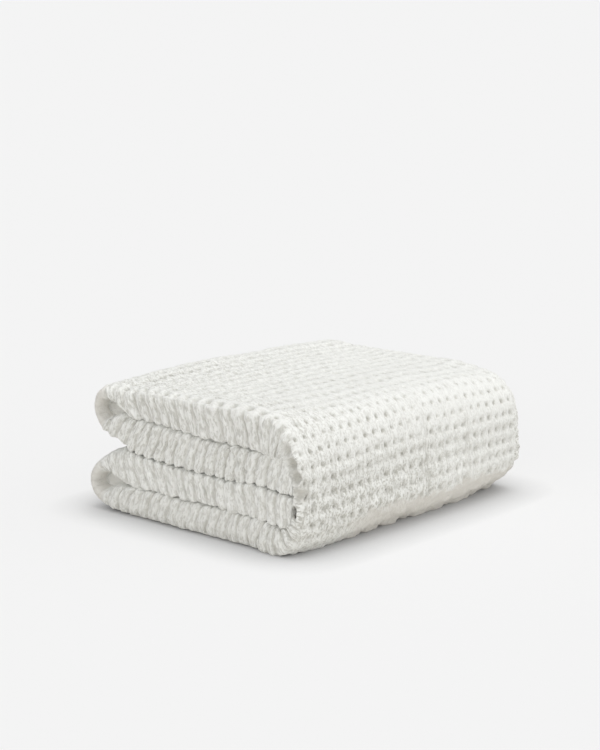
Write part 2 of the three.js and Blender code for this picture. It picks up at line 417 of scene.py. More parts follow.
def cell_columns(v):
    """Column number of the weave at v, a pit at each whole number."""
    taken = sum(width * ramp(v, y - SEAM_SPREAD, y + SEAM_SPREAD) for y, width in SEAMS)
    return (v - COLUMN_START - taken) / CELL_V


# ---- where the surface is open to view -----------------------------------------------------------
ridge = down_wrap(RIDGE_AT)
uneven = 7 * noise(U, V, 34, 51) + 4 * noise(U, V, 11, 52)  # how far the ridge strays from its line
# side A where it is open to view
open_a = np.maximum(
    window(along, at("band2", -1) + 18, at("wrap", -2) + 20, 14),
    window(along, at("lower_nose", 0) + 26, at("band3", 0) - 16, 16),
)[:, None]
# the rows whose side B lines a hollow, where it keeps a little of the relief
pocket = np.maximum(
    window(along, at("upper_nose", 0) - 16, at("band1", 0) - 18, 8),
    window(along, at("lower_nose", 1) - 16, at("lower_nose", -1) - 4, 8),
)[:, None]
inside = np.where(in_b, pocket * 0.25, 0)
# 1 where an edge is open to view, 0 in the creases
press = np.where(edge, ramp(left, 3, 22) * np.maximum(open_a, ramp(reach, 3, 22)), 0)
shown = np.where(in_a, open_a, press)
# where the top's outer corner is square, front and back, and how far past that corner a point is
SQUARE = [(at("upper_nose", 4), 0), (at("band1", 1), 1), (at("band1", -2), 1), (at("wrap", 0), 0)]
square = follow(along, SQUARE)[:, None]
around = reach - CORNER_REACH * square
face = np.where(edge, ramp(around, 8, 26) * press, 0)  # the ribbed faces of the pile's section

leftward = 1 - ramp(S, over_top(-140), over_top(40))  # the top toward the folds
flat = 1 - ramp(S, over_top(120), down_wrap(205))  # the level part of the top
wrapped = window(S, down_wrap(158), ridge, 30)  # the outer wrap, where the pits are widest
rear = np.where(in_a, ramp(V, -160, 220), 0)  # side A toward the back


def undercut_part():
    """The smooth cloth below the outer wrap's ridge."""
    part = ramp(S + uneven, ridge - 6, ridge + 8)
    part = part * (1 - ramp(S, at("band4", 0) + 20, at("band4", 0) + 50))
    return part * np.where(in_a, ramp(V, -225, -120), np.where(in_back, 1 - over_edge, 0))


def bridge_part():
    """Where the section faces have no ribs: by the outer wrap, and less so at the free end."""
    by_wrap = window(S, down_wrap(212), down_wrap(78), 16) * np.where(edge, ramp(reach, 10, 22), 0)
    return np.maximum(by_wrap, np.where(edge, 0.5 * (1 - ramp(S, 18, 70)), 0))


def nose_part():
    """The noses, which are smooth where they are drawn tight round the fold."""
    upper = window(S, at("upper_nose", 1) + 16, at("upper_nose", 4) + 6, 16)
    lower = window(S, at("lower_nose", 1) + 8, at("lower_nose", 4) - 4, 16)
    return (upper + lower) * np.where(edge, ramp(reach, 6, 20), 0)


under, bridge, nose = undercut_part(), bridge_part(), nose_part()
weave = np.where(in_a, open_a, np.where(edge, press * (1 - ramp(around, 11, 22)), 0))
weave = weave * (1 - 0.93 * under) * (1 - 0.8 * bridge)


# ---- the weave and the ribs ----------------------------------------------------------------------
def cell_random(i, j, seed):
    """A random value from -1 to 1 for each cell of the weave."""
    tall, wide = 97, 89
    return np.random.default_rng(seed).uniform(-1, 1, (tall, wide))[i % tall, j % wide]


def wave(cells):
    """0 at each whole number, 1 halfway between."""
    return 0.5 - 0.5 * np.cos(TAU * cells)


def pit_shapes(cu, cv, iu, iv):
    """Each point's share in a pit and in the hollow round it. No two pits are quite alike."""
    pu = (cu - iu) * CELL_U - PIT_STRAY * cell_random(iu, iv, 5)
    pv = (cv - iv) * CELL_V - PIT_STRAY * cell_random(iu, iv, 6)
    size = (1 + 0.25 * cell_random(iu, iv, 7)) * (0.84 + 0.32 * flat)
    lean = 0.5 * cell_random(iu, iv, 8)
    far_u = np.abs((pu + lean * pv) / (PIT_U * size)) ** PIT_POWER
    far_v = np.abs(pv / (PIT_V * size)) ** PIT_POWER
    r = (far_u + far_v) ** (1 / PIT_POWER)
    hollow = np.exp(-(np.abs(pu / HOLLOW_U) ** 2.6) - np.abs(pv / HOLLOW_V) ** 2.6)
    return np.exp(-(r**2.8)), hollow


def waffle(u, v):
    """Height of the waffle weave, and how much shade is painted at each point, in a pit and in the hollow
    round it (0 to 1).
    """
    cu = cell_rows(u + 2.4 * noise(u, v, 70, 1) + 1.0 * noise(u, v, 15, 2))
    cv = cell_columns(v + 3.0 * noise(u, v, 110, 3) + 1.0 * noise(u, v, 16, 4))
    iu, iv = np.round(cu).astype(int), np.round(cv).astype(int)
    pits, hollow = pit_shapes(cu, cv, iu, iv)
    strength = 1 + 0.35 * cell_random(iu, iv, 11) + 0.3 * noise(u, v, 85, 12)
    rope, bar = wave(cu), wave(cv)
    raised = ROPE * (0.4 + 0.9 * wrapped + 0.5 * leftward) * rope
    raised += BAR * (1 + 0.8 * wrapped + 0.6 * leftward) * bar * (1 - 0.3 * rope)
    deep = PIT * (0.9 + 0.1 * wrapped + 0.45 * flat + 0.5 * leftward) * pits
    deep += (0.6 + 1.6 * flat + 1.8 * wrapped) * hollow
    # shade painted in a pit, and fainter in the hollow round it
    pit_shade_share = np.maximum(pits, (0.1 + 0.32 * flat + 0.38 * wrapped) * hollow)
    return raised - strength * deep, strength * pit_shade_share


# the ribs on the faces bow toward the folds: the bend changes sides where the ribbon turns
BOW_SIDE = [
    (at("upper_nose", 1), -1), (at("upper_nose", 4), 1), (at("wrap", 1), 1), (at("wrap", 4), -1),
    (at("lower_nose", 1), -1), (at("lower_nose", 4), 1),
]
bow = follow(along, BOW_SIDE)[:, None] * RIB_BOW * (1 - (2 * over_edge - 1) ** 2)[None, :]


def ribs(u, v):
    """Height of the puffed ribs on the section faces, and how deep in a valley each point is, which sets the
    shade painted there.
    """
    sway = 3.2 * noise(u, v, 24, 21) + 1.3 * noise(u, v, 9, 22) + 2.2 * noise(u, v, 60, 23)
    cu = cell_rows(u + bow + sway)
    off = (cu - np.round(cu)) * CELL_U
    valley = np.exp(-(np.abs(off / VALLEY_WIDTH) ** 1.8)) * (0.95 + 0.5 * noise(u, v, 23, 24))
    middle = bump_at(np.abs(off), CELL_U / 2, MIDDLE_WIDTH) * np.maximum(0, 0.4 + noise(u, v, 30, 25))
    puff = wave(cu) * (1 + 0.4 * noise(u, v, 26, 26))
    return RIB_PUFF * puff - RIB_VALLEY * valley - RIB_MIDDLE * middle, valley + 0.4 * middle


def crinkle(u, v, size, seed):
    """Thin creases, about size apart: 1 in a crease, 0 between."""
    crease = np.exp(-((noise(u, v, size, seed) / 0.13) ** 2))
    return crease * np.maximum(0, 0.3 + noise(u, v, 2.7 * size, seed + 1))


# ---- the finer relief ----------------------------------------------------------------------------
# how much fuzz the cloth has and how much shade is painted between its yarns, along the ribbon and on the
# section faces
ROUGH_SHADE_ALONG = [
    (at("upper_nose", 3), 0.5), (over_top(-190), 0.85), (over_top(-140), 0.8), (over_top(-60), 0.55),
    (over_top(160), 0.4), (down_wrap(190), 0.6), (down_wrap(150), 0.95), (down_wrap(40), 0.95),
    (at("band4", 1), 0.4),
]
ROUGH_SHADE_ON_FACE = [
    (at("band2", 0), 0.8), (at("band2", -1), 0.8), (at("band1", 0), 0.85), (at("band1", -1), 0.85),
    (at("band4", 0), 0.7), (at("band4", -1), 0.65), (at("band3", 0), 0.75),
]


def rough_and_shade_amount():
    """How much fuzz the cloth has, and how much shade is painted between its yarns: more so along the front
    and low on the wrap, less toward the back.
    """
    near_edge = np.where(in_a, 1 - ramp(V, -300, -170), 0) * (1 - wrapped)
    near_edge = near_edge * window(S, at("upper_nose", 4), down_wrap(150), 30)
    low_wrap = window(S, down_wrap(110), ridge, 30) * (1 - rear)
    shade_and_rough = follow(along, ROUGH_SHADE_ALONG)[:, None] * (1 - 0.5 * rear) + 0.3 * near_edge + 0.3 * low_wrap
    shade_and_rough = np.maximum(shade_and_rough, follow(along, ROUGH_SHADE_ON_FACE)[:, None] * face)
    return shade_and_rough * (1 - 0.2 * under) * (1 - 0.8 * nose)


def yarn_relief():
    """Upright strands on the outer wrap, finer yarns elsewhere."""
    strand = np.cos(TAU * (V + 1.6 * noise(U, V, 17, 53) + 1.2 * noise(U, V, 7, 54)) / STRAND)
    strand = strand * (0.55 + 0.6 * noise(U, V, 15, 55))
    yarn = 1.2 * noise(U * 0.3, V, 4.8, 37) + 1.1 * strand
    yarn = yarn * (0.2 + 0.8 * wrapped) * np.where(in_a, 1, 1 - over_edge)
    return yarn + 1.3 * face * noise(U, V * 0.3, 4.8, 38)


def fine_relief():
    """Fuzz, yarns and thin creases, all fainter on the noses."""
    fine = fuzz * (0.3 + 0.6 * rough_and_shade) * (1 + 0.3 * under) + yarn_relief() * (1 - 0.8 * under)
    return (fine - 0.9 * crinkle(U, V, 13, 40) * (1 - 0.5 * under)) * (1 - 0.7 * nose)


rough_and_shade = rough_and_shade_amount()
# slow unevenness of the filling, and the cloth's own fuzz
soft = 1.8 * noise(U, V, 95, 31) + 1.2 * noise(U, V, 48, 32) + 0.7 * noise(U, V, 21, 33)
fuzz = 0.5 * noise(U, V, 8.3, 34) + 0.5 * noise(U, V, 5.3, 35) + 0.5 * noise(U, V, 3.7, 36)
fuzz = fuzz + 0.4 * noise(U, V, 2.6, 39)


# ---- the larger relief ---------------------------------------------------------------------------
def light_line():
    """The fine raised line along the front edge of the outer wrap."""
    front_reach = np.where(in_front, reach, -99)
    line = follow(S, [(down_wrap(z), past) for z, past in LIGHT_LINE])
    beside = bump_at(front_reach, line, LINE_WIDTH)
    return LINE_HEIGHT * window(S, down_wrap(205), down_wrap(75), 24) * beside


def seam_furrows():
    """The quilting seams: two close furrows each, with a raised thread line between."""
    furrows = np.zeros(reach.shape)
    for y, width in SEAMS:
        off = V - y - 2.0 * noise(U, V, 60, 45) - 1.0 * noise(U, V, 19, 46)
        deep = np.where(in_a, open_a, 0) * (1.0 if width > STRONG_SEAM else 0.5)
        deep = deep * (0.25 + 0.75 * window(S, down_wrap(170), down_wrap(62), 26))
        furrows += deep * bump_at(np.abs(off), FURROW_APART, FURROW_WIDTH)
    return furrows


def undercut_relief():
    """The lower edge of the outer wrap: a soft ridge, the wrinkled undercut, and folds on the floor."""
    side_only = np.where(in_a, 0.5 + 0.5 * ramp(V, -225, -120), 0.6 * (1 - over_edge))
    soft_ridge = RIDGE_RISE * bump_at(S, ridge - 6 - uneven, 8) * side_only
    wrinkle = WRINKLES * noise(U * 0.45 + V * 0.55, V * 0.5 - U * 0.5, 17, 48)
    wrinkle = wrinkle + SMALL_WRINKLES * noise(U, V, 12, 56) - FOOT_HOLLOW * bump_at(S, down_wrap(22), 16)
    foot = np.where(in_a, 1, 0.6) * window(S, down_wrap(4), down_wrap(4) + 50, 12)
    folds = 1 + 0.9 * noise(U * 0.2, V, 13, 49) + 0.6 * noise(U * 0.2, V, 31, 50)
    return soft_ridge + under * side_only * wrinkle + FOOT_FOLDS * foot * folds


def dragged_crease():
    """A crease dragged askew over band 2's face, with a low swell beside it."""
    (s0, reach0), (s1, reach1) = DRAGGED
    off = (S - (s1 + (reach - reach1) * (s1 - s0) / (reach1 - reach0))) * DRAG_SLANT
    relief = 2.6 * bump_at(off, -9, 7) - 4.5 * bump_at(off, 0, 3.6)
    return np.where(in_front, window(reach, 52, 90, 8), 0) * relief


def crease_relief():
    """Crease 1 is closed at its right end, the pockets close early, and crease 1 gapes before it ends."""
    closed = np.maximum(window(S, over_top(199), down_wrap(196), 9), window(S, 6, 66, 9))
    relief = CLOSED_CREASE * closed * np.where(edge, ramp(over_edge, 0.72, 0.9), 0)
    on_b = np.where(in_b | (over_edge > 0.5), 1, 0) * ramp(over_edge, 0.5, 0.9)
    for name, fill in POCKET_FILL:
        relief += fill * on_b * bump_at(S, at(name), 15)
    for place in (at("band2") + 12, at("band1", -1) - 12):
        relief -= CREASE_GAPE * on_b * bump_at(S, place, 14)
    return relief - 1.5 * np.where(in_front, 1 - ramp(S, 4, 40), 0) * ramp(reach, 16, 34)


def oval(x, z, wide, tall, power):
    """1 at a place of the plain surface, falling to 0 outside an oval round it."""
    squared = ((base[..., 0] - x) / wide) ** 2 + ((base[..., 2] - z) / tall) ** 2
    return np.exp(-(squared**power))


def front_dents():
    """Dents in the front end by the wrap: dimples, the trough that joins them, and the small hole."""
    dimples = sum(size * oval(x, z, wide, tall, 1.6) for x, z, wide, tall, size in DIMPLES)
    upward = DIMPLES[::-1]
    trough_x = follow(base[..., 2], [(z, x) for x, z, *_ in upward])
    joined = window(base[..., 2], 112, 206, 16) * np.exp(-(((base[..., 0] - trough_x) / 12) ** 4))
    past_edge = ramp(reach, 3, 14)
    return [np.where(in_front, d, 0) for d in (dimples * past_edge, joined * past_edge, oval(*HOLE, 2))]


w_height, w_pit_shade = waffle(U, V)
r_height, r_valley_shade = ribs(U, V)
furrow = seam_furrows()
dimple, trough, hole = front_dents()

height = weave * (w_height - WEAVE_LEVEL)
height += face * (1 - 0.95 * bridge) * (1 - nose) * (r_height - RIB_LEVEL)
height += shown * (soft + fine_relief())
height += inside * (soft + 2 * fuzz)
height -= HIDDEN_LEVEL * (1 - np.clip(weave + face + inside, 0, 1))
height += CORNER_RISE * square * window(np.where(in_a, np.abs(V) - inner, reach), -6, 30, 34)
height += light_line() - FURROW_DEPTH * furrow + undercut_relief() + dragged_crease() + crease_relief()


def raised_points():
    """The surface with all its relief, cut flat at the floor, its two ends closed."""
    surface = base + lattice_normals(base) * height[..., None]
    surface[..., 1] += DIMPLE_DEPTH * dimple + TROUGH_DEPTH * trough + HOLE_DEPTH * hole
    surface[..., 2] = np.maximum(surface[..., 2], 0)
    across_from = (B1 - column) % J
    for end in (0, -1):
        surface[end] = (surface[end] + surface[end][across_from]) / 2
    surface[..., 0] -= shift
    return surface


def painted_pit_shade():
    """Painted shade: up to 1.2 in pits, rib valleys, seam furrows, dimples and the trough, a little less
    toward the back of the wrap, and more in the small hole.
    """
    in_pits = weave * w_pit_shade * (1 - 0.5 * face) * (1 - 0.3 * rear * wrapped)
    in_valleys = 0.78 * face * (1 - bridge) * r_valley_shade
    dark = in_pits + in_valleys + 0.6 * furrow + 1.0 * dimple + 0.45 * trough
    # the small hole is coloured far past 1, where its shadow is painted
    return np.clip(dark, 0, 1.2) + 3.0 * hole**0.35


points = raised_points()
normals = lattice_normals(points)
# how much shade is painted at each point, most in the small hole, where its shadow is painted
pit = painted_pit_shade()
# where shade is painted: the undercut below the wrap's ridge, and the noses
smooth = np.maximum(under, nose)

# ---- the lattice cut into pieces -----------------------------------------------------------------
a_wrap = row_index(at("band1", -1))
a_floor = row_index(at("wrap", -1))
a_low = row_index(at("lower_nose", 0))
a_band3 = row_index(at("band3", 0) + 16)
a_open = row_index(at("band2", -1) - 8)
upper_pocket = row_index(at("upper_nose", 0) - 24), row_index(at("band1", 0) + 8)
lower_pocket = row_index(at("lower_nose", 0) - 24), row_index(at("band3", 0) + 8)
HALF = SIDE // 2
POCKET_COLUMNS, POCKET_STRIDE = 64, 2  # columns laid finer at a pocket's mouth, and their stride
LINING_DEEP = 2  # columns in from the edge where the cloth closes the pockets
LINING_STEPS, LINING_SAG = 8, 7  # its quads from wall to wall, and how far its middle hangs in


def pocket_blocks(i0, i1):
    """Side B inside a pocket: finer near both mouths."""
    name, b0, b1 = "comforter_inner", B0 + POCKET_COLUMNS, B1 - POCKET_COLUMNS
    return [
        (name, i0, i1, B0, b0, POCKET_STRIDE, POCKET_STRIDE),
        (name, i0, i1, b0, b1, POCKET_STRIDE, COARSE),
        (name, i0, i1, b1, B1, POCKET_STRIDE, POCKET_STRIDE),
    ]


# piece, first and last row, first and last column, row stride, column stride
BLOCKS = [
    ("comforter_top_front", a_open, a_wrap, 0, HALF, 1, 1),
    ("comforter_top_rear", a_open, a_wrap, HALF, SIDE, 1, 1),
    ("comforter_wrap_front", a_wrap, a_floor, 0, HALF, 1, 1),
    ("comforter_wrap_rear", a_wrap, a_floor, HALF, SIDE, 1, 1),
    ("comforter_wrap_front", a_low, a_band3, 0, HALF, 1, 1),
    ("comforter_wrap_rear", a_low, a_band3, HALF, SIDE, 1, 1),
    ("comforter_front", 0, I, B1, J, 1, 1),
    ("comforter_back", 0, I, SIDE, B0, 1, 1),
    ("comforter_inner", 0, a_open, 0, SIDE, COARSE, COARSE),
    ("comforter_inner", a_floor, a_low, 0, SIDE, COARSE, COARSE),
    ("comforter_inner", a_band3, I, 0, SIDE, COARSE, COARSE),
    ("comforter_inner", 0, upper_pocket[0], B0, B1, COARSE, COARSE),
    *pocket_blocks(*upper_pocket),
    ("comforter_inner", upper_pocket[1], lower_pocket[0], B0, B1, COARSE, COARSE),
    *pocket_blocks(*lower_pocket),
    ("comforter_inner", lower_pocket[1], I, B0, B1, COARSE, COARSE),
]


def used_points():
    """Which lattice points are a corner of some block's faces."""
    used = np.zeros((I + 1, J), bool)
    for _, i0, i1, j0, j1, di, dj in BLOCKS:
        used[np.ix_(range(i0, i1 + 1, di), np.arange(j0, j1 + 1, dj) % J)] = True
    return used


def welded(i, j):
    """One number for each lattice point; the two sides share the ribbon's end rows."""
    j = j % J
    at_end = (i == 0) | (i == I)
    return i * J + np.where(at_end, np.minimum(j, (B1 - j) % J), j)


def fine_corners(i0, i1, j0, j1):
    """Corners of a block with stride 1: plain quads."""
    i, j = np.meshgrid(np.arange(i0, i1), np.arange(j0, j1), indexing="ij")
    i, j = i.ravel(), j.ravel()
    quad_rows = np.stack([i, i + 1, i + 1, i], 1).ravel()
    quad_columns = np.stack([j, j, j + 1, j + 1], 1).ravel()
    return quad_rows, quad_columns, np.full(len(i), 4)


def coarse_walk(i, j, di, dj, used):
    """Round one coarse face, taking in each finer neighbour's points, so that no gap opens."""
    walk = [(i + k, j) for k in range(di)] + [(i + di, j + k) for k in range(dj)]
    walk += [(i + di - k, j + dj) for k in range(di)] + [(i, j + dj - k) for k in range(dj)]
    corners = {(i, j), (i + di, j), (i + di, j + dj), (i, j + dj)}
    return [(a, b) for a, b in walk if (a, b) in corners or used[a, b % J]]


def block_corners(block, used):
    """Rows and columns of each face's corners, one face after another, and the corner counts."""
    _, i0, i1, j0, j1, di, dj = block
    if di == dj == 1:
        return fine_corners(i0, i1, j0, j1)
    walks = [coarse_walk(i, j, di, dj, used) for i in range(i0, i1, di) for j in range(j0, j1, dj)]
    corners = np.array([corner for walk in walks for corner in walk])
    return corners[:, 0], corners[:, 1], np.array([len(walk) for walk in walks])


def piece_corners(name, used):
    """All corners of one piece without repeats: point numbers, rows, columns and corner counts."""
    parts = [block_corners(block, used) for block in BLOCKS if block[0] == name]
    i, j, counts = (np.concatenate([part[k] for part in parts]) for k in range(3))
    ids = welded(i, j)
    ends = np.cumsum(counts)
    before = np.arange(len(ids)) - 1
    before[ends - counts] = ends - 1
    keep = ids != ids[before]
    counts = np.add.reduceat(keep.astype(int), ends - counts)
    return ids[keep], i[keep], j[keep], counts


# ---- the meshes ----------------------------------------------------------------------------------
MAP_BORDER = 0.004


def set_vectors(mesh, name, values):
    """A vector attribute that the material reads, one for each point."""
    layer = mesh.attributes.new(name, "FLOAT_VECTOR", "POINT")
    layer.data.foreach_set("vector", values.astype(np.float32).ravel())


def inside_map(t):
    """Places turned into shares of the map, kept off its border."""
    return MAP_BORDER + (1 - 2 * MAP_BORDER) * (t - t.min()) / (t.max() - t.min())


def add_bake_map(mesh, u, v):
    """The map named OFBake: each loop's place in the lattice."""
    layer = mesh.uv_layers.new(name="OFBake")
    place = np.stack([inside_map(u), inside_map(v)], 1)
    layer.data.foreach_set("uv", place.astype(np.float32).ravel())


def smooth_faces(mesh):
    mesh.polygons.foreach_set("use_smooth", np.ones(len(mesh.polygons), bool))


def new_object(data):
    """A new object in the scene for a mesh, a lamp or the camera, with its name."""
    made = bpy.data.objects.new(data.name, data)
    bpy.context.scene.collection.objects.link(made)
    return made


def lining_grid(row0, row1, col):
    """Points across a pocket, between its two walls, and how they make quads."""
    count, wide = (row1 - row0) // 4, LINING_STEPS + 1
    ends = [(row0 + 2 * k, row1 - 2 * k) for k in range(count)]
    steps = np.linspace(0, 1, wide)
    grid = np.array([points[a, col] * (1 - t) + points[b, col] * t for a, b in ends for t in steps])
    inward = -np.sign(grid[:, 1]) * LINING_SAG * np.tile(np.sin(math.pi * steps), count)
    grid[:, 1] += inward * (1 + 0.6 * noise(grid[:, 0], grid[:, 2], 18, 61))
    k, t = np.meshgrid(np.arange(count - 1), np.arange(LINING_STEPS), indexing="ij")
    first = (k * wide + t).ravel()
    return grid, np.stack([first, first + 1, first + wide + 1, first + wide], 1)


def make_lining(name, row0, row1, col, outward):
    """The folded cloth that closes a pocket a little way in; outward is the way its quads run."""
    grid, quads = lining_grid(row0, row1, col)
    mesh = bpy.data.meshes.new(name)
    mesh.from_pydata((grid * MM).tolist(), [], quads[:, ::outward].tolist())
    smooth_faces(mesh)
    set_vectors(mesh, "cloth", grid[:, [0, 2, 2]] * [MM, MM, 0])
    # no ribs, a little painted shade between the yarns, and half the painted shade of the undercut
    set_vectors(mesh, "kind", np.tile([0, 0.15, 0.5], (len(grid), 1)))
    corner = np.zeros(len(mesh.loops), np.int32)
    mesh.loops.foreach_get("vertex_index", corner)
    add_bake_map(mesh, corner // (LINING_STEPS + 1), corner % (LINING_STEPS + 1))
    return new_object(mesh)


def make_linings():
    made = []
    for name, pocket_rows in (("lining_upper", upper_pocket), ("lining_lower", lower_pocket)):
        made.append(make_lining(name + "_back", *pocket_rows, B0 + LINING_DEEP, -1))
        made.append(make_lining(name + "_front", *pocket_rows, B1 - LINING_DEEP, 1))
    return made


def make_piece(name, used):
    """One piece of the lattice, with its smooth normals, its cloth coordinates and its bake map."""
    loops, loop_row, loop_column, counts = piece_corners(name, used)
    ids, local = np.unique(loops, return_inverse=True)
    mesh = bpy.data.meshes.new(name)
    mesh.vertices.add(len(ids))
    mesh.vertices.foreach_set("co", (points.reshape(-1, 3)[ids] * MM).astype(np.float32).ravel())
    mesh.loops.add(len(loops))
    mesh.loops.foreach_set("vertex_index", local.astype(np.int32))
    mesh.polygons.add(len(counts))
    loop_start = np.concatenate([[0], np.cumsum(counts)[:-1]])
    mesh.polygons.foreach_set("loop_start", loop_start.astype(np.int32))
    mesh.update(calc_edges=True)
    # cloth: U, V and the painted pit shade; kind: faces, fuzz with its painted yarn shade, and where
    # undercut shade is painted
    set_vectors(mesh, "cloth", np.stack([t.ravel()[ids] for t in (U * MM, V * MM, pit)], 1))
    set_vectors(mesh, "kind", np.stack([t.ravel()[ids] for t in (face, rough_and_shade, smooth)], 1))
    smooth_faces(mesh)
    mesh.normals_split_custom_set_from_vertices(normals.reshape(-1, 3)[ids])
    add_bake_map(mesh, loop_row, loop_column)
    print(name, "triangles", int((counts - 2).sum()))
    return new_object(mesh)


def make_pieces():
    used = used_points()
    return [make_piece(name, used) for name in dict.fromkeys(block[0] for block in BLOCKS)]


# ---- the materials -------------------------------------------------------------------------------
WHITE = (0.895, 0.900, 0.870, 1)
WHITE_2 = (0.925, 0.930, 0.900, 1)
# painted shade in the pits, rib valleys, seam furrows and dents
VALLEY_SHADE = (0.60, 0.585, 0.535, 1)
# painted shadow deep in the small hole
HOLE_SHADOW = (0.10, 0.095, 0.085, 1)
SHADE = (0.60, 0.595, 0.55, 1)  # painted shade between the yarns
# painted shade on the undercut, the noses and the pockets' linings
UNDER_SHADE = (0.74, 0.715, 0.665, 1)
YARN_LONG, YARN_THICK, FLUFF, BLOTCH = 0.015, 0.0046, 0.0042, 0.038  # sizes in the cloth, in metres
BUMP_DEPTH = 0.0035
PIT_SHADE_TINT, YARN_GAP_SHADE_TINT, UNDER_SHADE_TINT = 0.75, 0.9, 0.75  # how far the painted shade of pits and valleys, the painted shade between the yarns, and the painted shade of the undercut and noses are mixed in
HOLE_SHADOW_BAND = (1.25, 1.6)  # darkness at which the cloth begins to turn, and has turned, to the painted shadow deep in the small hole
YARN_GAP_BAND = (0.43, 0.53)  # the fine pattern is between yarns below this, and a yarn above it; shade is painted between the yarns

FLOOR_GREY = (0.896, 0.896, 0.896, 1)
FLOOR_GLOW = 0.62  # share of the floor's grey that needs no lamp, so that shadows stay faint
FLOOR_BOUNCE = (0.80, 0.785, 0.76, 1)
FLOOR_HALF = 60.0
PAINTED_SHADOW_REACH = 0.10  # how far from the comforter the painted contact shadow on the floor reaches, in metres


def input_socket(node, name):
    """An input by its name, with _ for a space, or by its number as _0, _1 and so on."""
    if name[0] == "_" and name[1:].isdigit():
        return node.inputs[int(name[1:])]
    return node.inputs[name.replace("_", " ")]


def feed(tree, socket, value):
    """Link the value to the socket if it is a socket itself, else set it."""
    if isinstance(value, bpy.types.NodeSocket):
        tree.links.new(value, socket)
    else:
        socket.default_value = value


def add_node(tree, kind, settings=None, **inputs):
    """A node with its settings and inputs."""
    node = tree.nodes.new(kind)
    for name, value in (settings or {}).items():
        setattr(node, name, value)
    for name, value in inputs.items():
        feed(tree, input_socket(node, name), value)
    return node


def empty_tree(owner):
    """The empty node tree of a new material or world."""
    owner.use_nodes = True
    owner.node_tree.nodes.clear()
    return owner.node_tree


def grain(tree, vector, size, detail=2.0):
    """Fac of a noise over a vector in metres, with grains of the given size in metres."""
    scaled = add_node(tree, "ShaderNodeVectorMath", {"operation": "DIVIDE"}, _0=vector, _1=size)
    spots = add_node(
        tree, "ShaderNodeTexNoise", Vector=scaled.outputs[0], Scale=1.0, Detail=detail, Roughness=0.6
    )
    return spots.outputs["Fac"]


def mixed(tree, factor, a, b):
    node = add_node(tree, "ShaderNodeMix", {"data_type": "FLOAT"}, Factor=factor, A=a, B=b)
    return node.outputs["Result"]


def math_node(tree, operation, *values):
    numbered = {f"_{k}": value for k, value in enumerate(values)}
    return add_node(tree, "ShaderNodeMath", {"operation": operation}, **numbered).outputs[0]


def steps_between(tree, value, start, stop, first, last):
    """The value mapped from start..stop to first..last, and held there outside."""
    return add_node(tree, "ShaderNodeMapRange", Value=value, _1=start, _2=stop, _3=first, _4=last).outputs[0]


def mix_colour(tree, factor, a, b):
    node = tree.nodes.new("ShaderNodeMix")
    node.data_type = "RGBA"
    for name, value in (("Factor", factor), ("A", a), ("B", b)):
        feed(tree, [i for i in node.inputs if i.name == name and i.enabled][0], value)
    return [o for o in node.outputs if o.enabled][0]


def fine_pattern(tree, cloth, place, on_face):
    """Yarns and fluff: yarns run along the ribbon on side A, and across it on the faces."""
    along_u = grain(tree, cloth, (YARN_LONG, YARN_THICK, 1))
    along_v = grain(tree, cloth, (YARN_THICK, YARN_LONG, 1))
    yarns = mixed(tree, on_face, along_u, along_v)
    fluff = grain(tree, place, (FLUFF, FLUFF, FLUFF), 3.0)
    fluff_share = math_node(tree, "MULTIPLY_ADD", on_face, -0.3, 0.5)  # half, but less on the faces
    return mixed(tree, fluff_share, yarns, fluff)


def cloth_colour(tree, place, pit_shade, fine, yarn_gap_shade_part, under_shade_part):
    """White cloth, with shade painted in pits and valleys, between the yarns, on the undercut and the noses,
    and darkest in the small hole, where its shadow is painted.
    """
    blotch = grain(tree, place, (BLOTCH, BLOTCH, BLOTCH), 5.0)
    base_colour = mix_colour(tree, blotch, WHITE, WHITE_2)
    base_colour = mix_colour(tree, math_node(tree, "MULTIPLY", pit_shade, PIT_SHADE_TINT), base_colour, VALLEY_SHADE)
    # painted shadow in the small hole
    hole_shadow = steps_between(tree, pit_shade, *HOLE_SHADOW_BAND, 0.0, 1.0)
    base_colour = mix_colour(tree, hole_shadow, base_colour, HOLE_SHADOW)
    # shade painted between the yarns, scaled by the amount that also sets the fuzz
    between_yarns = steps_between(tree, fine, *YARN_GAP_BAND, 1.0, 0.0)
    shade_and_rough = math_node(tree, "MULTIPLY", between_yarns, math_node(tree, "MULTIPLY", yarn_gap_shade_part, YARN_GAP_SHADE_TINT))
    base_colour = mix_colour(tree, shade_and_rough, base_colour, SHADE)
    return mix_colour(tree, math_node(tree, "MULTIPLY", under_shade_part, UNDER_SHADE_TINT), base_colour, UNDER_SHADE)


def cloth_material():
    made = bpy.data.materials.new("waffle_cotton")
    tree = empty_tree(made)
    cloth = add_node(tree, "ShaderNodeAttribute", {"attribute_name": "cloth"}).outputs["Vector"]
    kind = add_node(tree, "ShaderNodeAttribute", {"attribute_name": "kind"}).outputs["Vector"]
    place = add_node(tree, "ShaderNodeTexCoord").outputs["Object"]
    pit_shade = add_node(tree, "ShaderNodeSeparateXYZ", Vector=cloth).outputs["Z"]
    kinds = add_node(tree, "ShaderNodeSeparateXYZ", Vector=kind)
    on_face, yarn_gap_shade_part, under_shade_part = (kinds.outputs[axis] for axis in "XYZ")
    fine = fine_pattern(tree, cloth, place, on_face)
    colour = cloth_colour(tree, place, pit_shade, fine, yarn_gap_shade_part, under_shade_part)
    bump = add_node(tree, "ShaderNodeBump", Strength=1.0, Distance=BUMP_DEPTH, Height=fine)
    skin = add_node(
        tree, "ShaderNodeBsdfPrincipled", Base_Color=colour, Roughness=0.95, Normal=bump.outputs["Normal"],
        Specular_IOR_Level=0.15, Sheen_Weight=0.2, Sheen_Roughness=0.6,
    )
    add_node(tree, "ShaderNodeOutputMaterial", Surface=skin.outputs["BSDF"])
    return made


